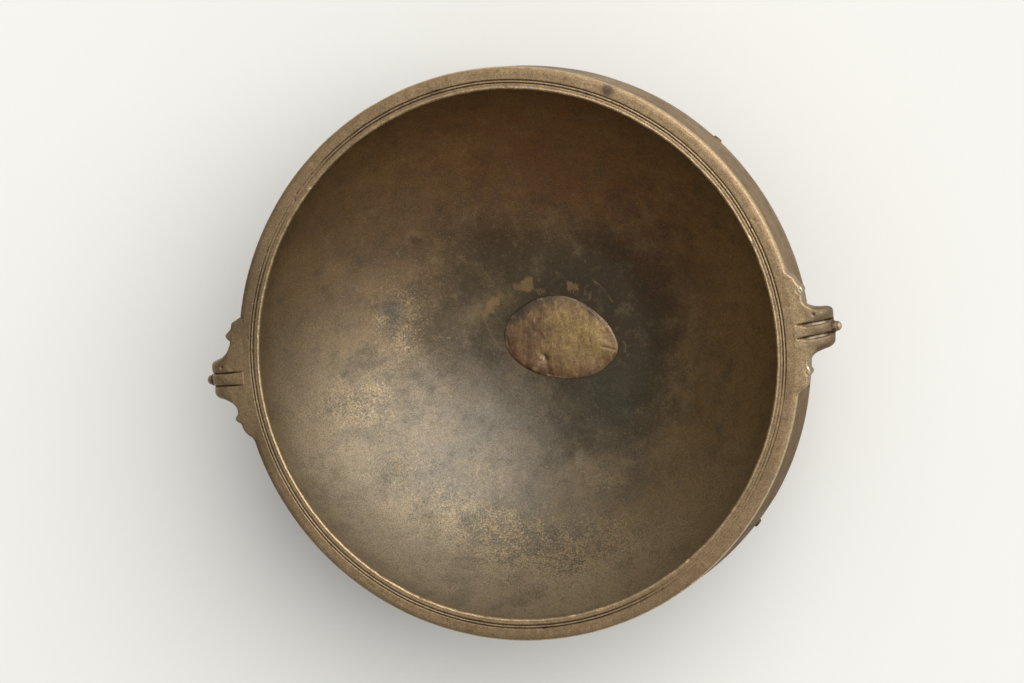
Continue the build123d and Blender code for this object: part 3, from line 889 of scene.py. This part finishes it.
def lug(spec):
    low = (186.5, -49.5, TOP - 24.5)
    x, y, z = grid(low, (225.0, 49.5, TOP + 0.5), LUG_PITCH)
    flat_x, flat_y = x[:, :, 0], y[:, :, 0]
    side = beside_bar(spec, flat_x, flat_y)
    plan = outline_distance(flat_x, flat_y, flowing(spec["outline"], steps=6))
    finger = step_up(flat_x, 206, 216)
    channel, spread = groove_cut(flat_x, side, spec["channel"], spec["lean"])
    top = lug_top(flat_x, flat_y) - channel
    top -= finger * 0.055 * (np.abs(side) - 9.3) ** 2
    top -= 0.5 * step_up(np.abs(flat_y), 38, 45)
    for bud_x, bud_y, size in spec["buds"]:
        gap = np.hypot(flat_x - bud_x, flat_y - bud_y)
        top += spec["relief"] * (0.35 * bump_at(gap, size) - 1.1 * bump_at(gap, size * 0.42))
        top -= spec["relief"] * 0.4 * bump_at(np.abs(gap - size * 1.25), 0.9) * (flat_x < bud_x)
    top -= 0.9 * near_spot(flat_x, flat_y, *spec["pit"], 1.5)
    finger = finger[:, :, None]
    shrink = 2.2 * step_up(TOP - 13 - z, 0, 9) * (1 - 0.7 * finger)
    body = soft_max(plan[:, :, None] + shrink, z - top[:, :, None], 1.3 + 1.9 * finger)
    body = soft_max(body, lug_bottom(x) - z, 4.0)
    # under the rim the root stops inside the wall, so nothing of it stands in the bowl
    root = 188 + 9 * step_up(TOP - z, 2.0, 5.0)
    body = np.maximum(body, root - np.hypot(x, y))
    # the bar's seat is cut away under the top, from just inside the rim outwards
    slot = soft_max(np.abs(side)[:, :, None] - spread[:, :, None], TOP - 7 - z, 0.5)
    slot = np.maximum(slot, 196 - x)
    body = soft_max(body, -slot, 0.3)
    # the casting is rough away from the worn top
    points = np.stack([x, y, z], -1).reshape(-1, 3)
    near = np.abs(body).ravel() < 1.5
    close = points[near]
    away = np.maximum(step_up(np.hypot(*close.T[:2]), 200, 205), step_up(TOP - close[:, 2], 1.0, 4.0))
    rough = np.zeros(near.size)
    rough[near] = (0.14 * noise(close, 7, 61) + 0.07 * noise(close, 2.4, 62)) * away
    points, quads = skin_of(body + rough.reshape(body.shape), low, LUG_PITCH)
    points[:, 2] = np.minimum(points[:, 2], CEILING)
    cast_lug_piece(spec, spec["node"], points, quads)


def cast_lug_piece(spec, node, points, quads):
    """A lug or its bar from its modelled skin, marked with dirt in hollows, wear, painted highlights and
    painted shade, and turned into place.
    """
    x, y, z = points.T
    under = TOP - z
    outward = step_up(x, 202, 214)
    hollow = hollowness(points, quads)
    cavity = step_up(hollow, 0.005, 0.05)
    # painted light brightens the right lug's plate, and painted shade darkens its fingers through the stain
    # mark
    edge = step_up(-hollow, 0.008, 0.05) * 0.32 + spec["plate_light_finger_shade"] * (1 - outward)
    # painted highlight: the channel walls that look towards the bowl's +y side are painted bright, standing
    # in for the glint of light on them
    side = beside_bar(spec, x, y)
    spread = groove_cut(x, side, spec["channel"], spec["lean"])[1]
    below = np.sign(side) * spread - side
    glint_gloss = step_up(below, 0.1, 0.45) * (1 - step_up(below, 1.3, 2.0)) * spec["shine"]
    glint_gloss *= step_up(x, 204, 208) * (1 - step_up(x, 215.5, 219.5)) * (under < 12)
    # painted highlights: a spot and a ring on the buds
    bud = np.abs(np.hypot(x - 203.9, y - 28.4) - 1.7)
    glint_spots = 0.7 * near_spot(x, y, 204.7, -24.6, 1.6) + 0.4 * bump_at(bud, 0.9)
    # painted shade: the lug's sides under its top are darkened
    flank = step_up(under, 0.9, 2.6) * (1 - step_up(x, 206, 212))
    collar = bump_at(np.abs(x - 222.8), 2.4) * (np.abs(side) < 5.5)
    # darker at the right lug's lower shoulder
    shoulder_dark = 0.4 * bump_at(np.hypot(x - 199.5, (y + 27) / 1.6), 6)
    placed = turned(points, spec["turn"])
    tone = tone_and_painted_light(placed * [1, 1, 0] + [0, 0, TOP], np.arctan2(placed[:, 1], placed[:, 0]))
    # in the tone mark, darker paints shade on the right lug's rolled-down fingers and light on the left lug's
    marks = {
        "cavity": cavity * (1 - 0.8 * glint_gloss) + 0.75 * collar,
        "edge": edge * (1 - 0.9 * flank) + 0.6 * step_up(x, 225.4, 227),
        "shine": glint_gloss + spec["shine"] * glint_spots * (under < 1.6),
        "tone": np.clip(tone + spec["darker"] * outward + 0.45 * flank, 0, 1),
        # darker under the lug towards its root, painted shade on the right fingers, and darker at the lower
        # shoulder
        "stain": 0.6 * bump_at(np.abs(under - 23), 14) + spec["plate_light_finger_shade"] * outward + shoulder_dark * spec["shine"],
    }
    stand_in(node, "_cast", RIM_MATERIAL, placed, quads, marks)


def lug_bar(spec):
    low = (194.0, -8.0, TOP - 24.0)
    x, y, z = grid(low, (229.0, 11.0, TOP + 0.5), BAR_PITCH)
    from_middle = beside_bar(spec, x, y)
    side = np.abs(from_middle)
    channel, spread = groove_cut(x, from_middle, spec["channel"], spec["lean"])
    top = lug_top(x[:, :, 0], y[:, :, 0])[:, :, None]
    top = top + 0.1 - 0.03 * side ** 2 * step_up(x, 198, 212) - channel
    body = soft_max(side - spread - 0.15, z - top, 0.4)
    body = soft_max(body, x - 222.4, 2.2)
    body = soft_max(body, lug_bottom(x) + 1 - z, 3.0)
    body = soft_max(body, 196.2 - x, 0.8)
    # collar and knob on an axis that droops below level
    droop = math.radians(25)
    tip = spec["middle"] + spec["skew"] * 26 + spec["nod"]
    from_x, from_z = x - 220.4, z - (TOP - 11.67)
    along = from_x * math.cos(droop) - from_z * math.sin(droop)
    rise = from_x * math.sin(droop) + from_z * math.cos(droop)
    out = np.hypot(y - tip, rise)
    collar = soft_max(np.abs(along - 1.6) - 1.9, out - 4.2, 0.9)
    neck = soft_max(np.abs(along - 3) - 3, out - 3.0, 0.5)
    knob = np.sqrt((along - 4.75) ** 2 + (out * 0.97) ** 2) - 3.25
    nose = soft_min(soft_min(collar, neck, 0.4), knob, 0.5)
    body = soft_min(body, nose, 0.6)
    points = np.stack([x, y, z], -1).reshape(-1, 3)
    body = body + (0.1 * noise(points, 5, 63) + 0.05 * noise(points, 2, 64)).reshape(body.shape)
    cast_lug_piece(spec, spec["bar"], *skin_of(body, low, BAR_PITCH))


# ---------------------------------------------------------------- floor repair and studs

def button(rings, reach, count):
    """A closed round or oval lump: rings of (share of reach, height), first and last at the middle."""
    turn = np.linspace(0, 2 * math.pi, count, endpoint=False)
    body = [round_axis(share * reach(turn), turn, np.full(count, height)) for share, height in rings[1:-1]]
    points = np.vstack([[[0, 0, rings[0][1]]], *body, [[0, 0, rings[-1][1]]]])
    faces = (lathe_faces(len(body), count, closed=False) + 1).tolist()
    last = len(points) - 1
    for i in range(count):
        after = (i + 1) % count
        faces.append((0, 1 + after, 1 + i))
        faces.append((last, last - count + i, last - count + after))
    return points, faces


def oval(turn, half_x, half_y):
    return 1 / np.hypot(np.cos(turn) / half_x, np.sin(turn) / half_y)


def patch_reach(turn):
    """Egg-shaped outline of the plate, a little flat on one flank."""
    tip = 0.04 * near_turn(turn, -6, 0.3)
    egg = 0.987 + tip + 0.03 * np.cos(2 * turn + 2.42) + 0.03 * np.cos(3 * turn + 1.37)
    return oval(turn, PATCH_RX, PATCH_RY) * egg


def on_patch_axis(points):
    return turned(points, PATCH_TURN) + [*PATCH_AT, 0]


def centre_patch():
    shares = np.concatenate([np.linspace(1.0, 0.9, 14), np.linspace(0.88, 0.012, 46)])
    crown = [(share, FLOOR_T + 0.35 + 2.55 * (1 - share ** 3.2) ** 0.62) for share in shares]
    rings = [(0, FLOOR_T + 0.05), (0.99, FLOOR_T + 0.05), (1.0, FLOOR_T + 0.15), *crown, (0, crown[-1][1])]
    flat, faces = button(rings, patch_reach, 300)
    share = np.hypot(flat[:, 0], flat[:, 1]) / patch_reach(np.arctan2(flat[:, 1], flat[:, 0]))
    x, y, height = on_patch_axis(flat).T
    plan = np.stack([x, y, 0 * x], 1)
    beside = np.arctan2(y - PATCH_AT[1], x - PATCH_AT[0])
    # the upper right edge stands crisp, the lower left is beaten down towards the floor
    crisp = near_turn(beside, 28, 1.1)
    low_side = near_turn(beside, 215, 1.3)

    # a dimple with a fold that runs from it to the lower edge, and a swelling on its left
    dimple = line_gap(x, y, (-14.4, -12.4), (-12.0, -15.6))
    fold = line_gap(x, y, (-12.6, -15.0), (-10.9, -29.0))
    crease = line_gap(x, y, (30.5, -11.2), (41.5, -15.0))
    lift = 0.55 * noise(plan, 15, 71) + 0.28 * noise(plan, 6, 72) + 0.09 * noise(plan * [1, 0.5, 1], 2.2, 75)
    lift -= 0.7 * bump_at(dimple, 3.2) + 0.75 * bump_at(fold, 3.4) + 0.5 * bump_at(crease, 1.0)
    lift += 0.95 * near_spot(x, y, -21.5, -21.5, 6.0, 1.1) - 0.8 * near_spot(x, y, -10.8, -29.2, 1.8)
    lift += 0.35 * crisp * bump_at(np.abs(share - 0.955), 0.06)
    on_top = step_up(height, FLOOR_T + 0.3, FLOOR_T + 1.2) * (1 - 0.5 * step_up(share, 0.93, 1.0))
    height = np.clip(height + lift * on_top, FLOOR_T + 0.02, FLOOR_T + 3.35)

    gold = near_spot(x, y, 10, 1, 23, 1.5) + 0.4 * noise(plan, 14, 73)
    dusk = step_up(share + 0.12 * noise(plan, 9, 77), 0.6, 0.97) * bump_at(angle_gap(beside, 2.2), 1.25)
    dusk += 0.35 * near_spot(x, y, -20, 4, 14, 1.3)
    # painted highlights: grey and bright lighten the crisp upper right edge, which faces the light, and the
    # top of the swelling
    grey = step_up(share + 0.05 * noise(plan, 6, 74), 0.84, 0.99) * (0.25 + 0.5 * crisp)
    grey += 0.8 * near_spot(x, y, -20.5, -23.0, 5.0, 1.3)
    bright = crisp * bump_at(np.abs(share - 0.985), 0.02) * (0.6 + 0.5 * noise(plan, 5, 78))
    bright += 0.8 * near_spot(x, y, -21.5, -23.5, 2.6)
    ragged = share + 0.1 * noise(plan, 9, 76)
    burnt = step_up(ragged, 0.6, 1.0) * low_side
    burnt += 0.7 * step_up(ragged, 0.75, 0.97) * bump_at(angle_gap(beside, -0.6), 0.8)
    cavity = 0.45 * bump_at(dimple, 3.0) + 0.42 * bump_at(fold, 3.0) + 0.5 * bump_at(crease, 0.9)
    # painted shadow: a dark line along the plate's edge, left out on the lit upper right
    cavity += 0.6 * step_up(share, 0.975, 1.0) * (1 - crisp)
    marks = held(gold=gold, grey=grey, cavity=cavity, burnt=burnt, dusk=dusk, bright=bright)
    points = np.stack([x, y, height], 1)
    stand_in("centre_patch", "_beaten", PATCH_MATERIAL, points, faces, marks)


def patch_rivet():
    seat = FLOOR_T + 0.8
    rings = [(0, seat - 0.6), (1, seat - 0.6), (1.0, seat + 0.3), (0.96, seat + 0.8), (0.84, seat + 1.3),
             (0.62, seat + 1.75), (0.34, seat + 2.0), (0, seat + 2.06)]
    points, faces = button(rings, lambda turn: 2.9 + 0.18 * np.cos(2 * turn + 1) + 0.1 * np.cos(5 * turn), 48)
    points += [*BEAD_AT, 0]
    points[:, 2] += 0.14 * noise(points, 1.8, 81) * step_up(points[:, 2], seat, seat + 1)
    points[:, 2] = np.minimum(points[:, 2], seat + 2.09)
    marks = {"gold": np.full(len(points), 0.3), "grey": np.full(len(points), 0.35),
             "cavity": 0.42 - 0.3 * step_up(points[:, 2], seat + 0.2, seat + 1.8)}
    stand_in("patch_rivet", "_beaten", PATCH_MATERIAL, points, faces, marks)


def patch_backing():
    low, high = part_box("patch_backing")
    base, top = low[2] / MM, high[2] / MM
    rings = [(0, top)] + [(share, top) for share in (0.4, 0.8, 0.985)]
    rings += [(0.995, base + 0.9), (0.985, base + 0.35)]
    rings += [(share, base + 0.12) for share in np.linspace(0.97, 0.05, 20)] + [(0, base + 0.12)]

    def reach(turn):
        return oval(turn, BACKING_RX, BACKING_RY) * (0.985 + 0.012 * np.cos(2 * turn + 0.5))

    points, faces = button(rings, reach, 160)
    points = on_patch_axis(points)
    points[:, 2] += 0.18 * (0.5 + 0.5 * noise(points, 9, 82)) * (points[:, 2] < base + 0.3)
    marks = {"gold": np.full(len(points), 0.1), "grey": np.full(len(points), 0.6),
             "cavity": 0.2 + 0.2 * noise(points, 6, 83)}
    stand_in("patch_backing", "_beaten", PATCH_MATERIAL, points, faces, marks)


def wall_studs():
    """Four stubs cut off with a few flat strokes, low on the wall just above the shoulder line."""
    points, faces = np.zeros((0, 3)), []
    for number, (angle, rise) in enumerate(zip(STUD_TURNS, STUD_RISES)):
        rings = [(0, -3.0), (1.0, -3.0), (1.05, -0.4), (0.97, 0.3 * rise), (0.84, 0.7 * rise),
                 (0.6, 0.92 * rise), (0.3, 0.98 * rise), (0, rise)]
        stub, stub_faces = button(rings, lambda turn: 3.1 + 0.25 * np.cos(3 * turn + number), 20)
        stub[:, 2] += 0.15 * noise(stub + 40 * number, 3, 91) * (stub[:, 2] > 0)
        across, up, proud = stub.T
        out = WALL_R - 0.1 + np.minimum(proud, 1.95) + wall_swell(np.array([angle]), SHOULDER_Z)
        c, s = math.cos(angle), math.sin(angle)
        faces += [tuple(int(i) + len(points) for i in face) for face in stub_faces]
        placed = np.stack([out * c - across * s, out * s + across * c, SHOULDER_Z + 1.6 + up], 1)
        points = np.vstack([points, placed])
    marks = {"base": np.zeros(len(points)), "shade": wall_shade(np.arctan2(points[:, 1], points[:, 0]))}
    stand_in("wall_studs", "_cut", OUTSIDE_MATERIAL, points, faces, marks)


OUTSIDE_MATERIAL = outside_brass()
RIM_MATERIAL = rim_brass()
PATCH_MATERIAL = patch_brass()
bowl_pan()
rim_ring()
for spec in LUGS.values():
    lug(spec)
    lug_bar(spec)
centre_patch()
patch_rivet()
patch_backing()
wall_studs()

# ---------------------------------------------------------------- floor, lights and camera

def floor():
    n = Nodes(bpy.data.materials.new("floor_pale"))
    n.colour = n.mix(n.noise(400, 3), (223, 223, 220), (228, 228, 225))
    n.bump(n.noise(3, 3), 0.2, 0.15)
    reach, under = 12000, -0.05
    points = np.array([(-reach, -reach, under), (reach, -reach, under), (reach, reach, under),
                       (-reach, reach, under)])
    piece = new_mesh("floor_pale", points, [(0, 1, 2, 3)], {})
    piece.data.materials.append(n.finish(0.9, 0.0))


def direction(azimuth, elevation):
    """Unit vector that points at a place in the sky, in degrees from +X and above level."""
    a, e = math.radians(azimuth), math.radians(elevation)
    return Vector((math.cos(e) * math.cos(a), math.cos(e) * math.sin(a), math.sin(e)))


def soft_sun(name, azimuth, elevation, spread, power, colour):
    lamp = bpy.data.lights.new(name, "SUN")
    lamp.angle = math.radians(spread)
    lamp.energy = power
    lamp.color = colour
    holder = bpy.data.objects.new(name, lamp)
    holder.rotation_euler = direction(azimuth, elevation).to_track_quat("Z", "Y").to_euler()
    bpy.context.scene.collection.objects.link(holder)


def sky():
    """Soft studio surround: bright towards the key light, dim behind, an even pale tone to the camera."""
    n = Nodes(bpy.data.worlds.new("studio"))
    facing = n.node("ShaderNodeVectorMath", {0: n.spot.outputs["Generated"], 1: direction(30, 50)},
                    operation="DOT_PRODUCT")
    strength = n.span(facing.outputs["Value"], -0.3, 1.0, 0.08, 0.8, "SMOOTHERSTEP")
    glow = n.node("ShaderNodeBackground", {"Color": (1.0, 0.99, 0.97, 1), "Strength": strength})
    plain = n.node("ShaderNodeBackground", {"Color": (0.90, 0.89, 0.86, 1)})
    seen = n.node("ShaderNodeLightPath", {}).outputs["Is Camera Ray"]
    both = n.node("ShaderNodeMixShader", {0: seen, 1: glow.outputs[0], 2: plain.outputs[0]})
    n.node("ShaderNodeOutputWorld", {"Surface": both.outputs[0]})
    bpy.context.scene.world = n.owner


def camera():
    """Above the bowl, 15 degrees off its axis, as a long lens sees it."""
    tilt = math.radians(15.2)
    heading = math.radians(18.14)
    up_turn = math.radians(6.2)
    distance = 12.082 * RIM_R * MM
    aim = Vector((0.0005, 0.0103, TOP * MM))
    back = Vector((math.sin(tilt) * math.cos(heading), math.sin(tilt) * math.sin(heading), math.cos(tilt)))
    hint = Vector((math.sin(up_turn), math.cos(up_turn), 0))
    right = hint.cross(back).normalized()
    lens = bpy.data.cameras.new("camera")
    lens.sensor_width = 36
    lens.lens = 123.05
    lens.clip_end = 100
    holder = bpy.data.objects.new("camera", lens)
    facing = Matrix((right, back.cross(right), back)).transposed().to_4x4()
    holder.matrix_world = Matrix.Translation(aim + back * distance) @ facing
    bpy.context.scene.collection.objects.link(holder)
    bpy.context.scene.camera = holder


floor()
soft_sun("key", azimuth=35, elevation=42, spread=70, power=3.1, colour=(1.0, 0.985, 0.96))
sky()
bpy.context.scene.view_settings.view_transform = "Standard"
camera()
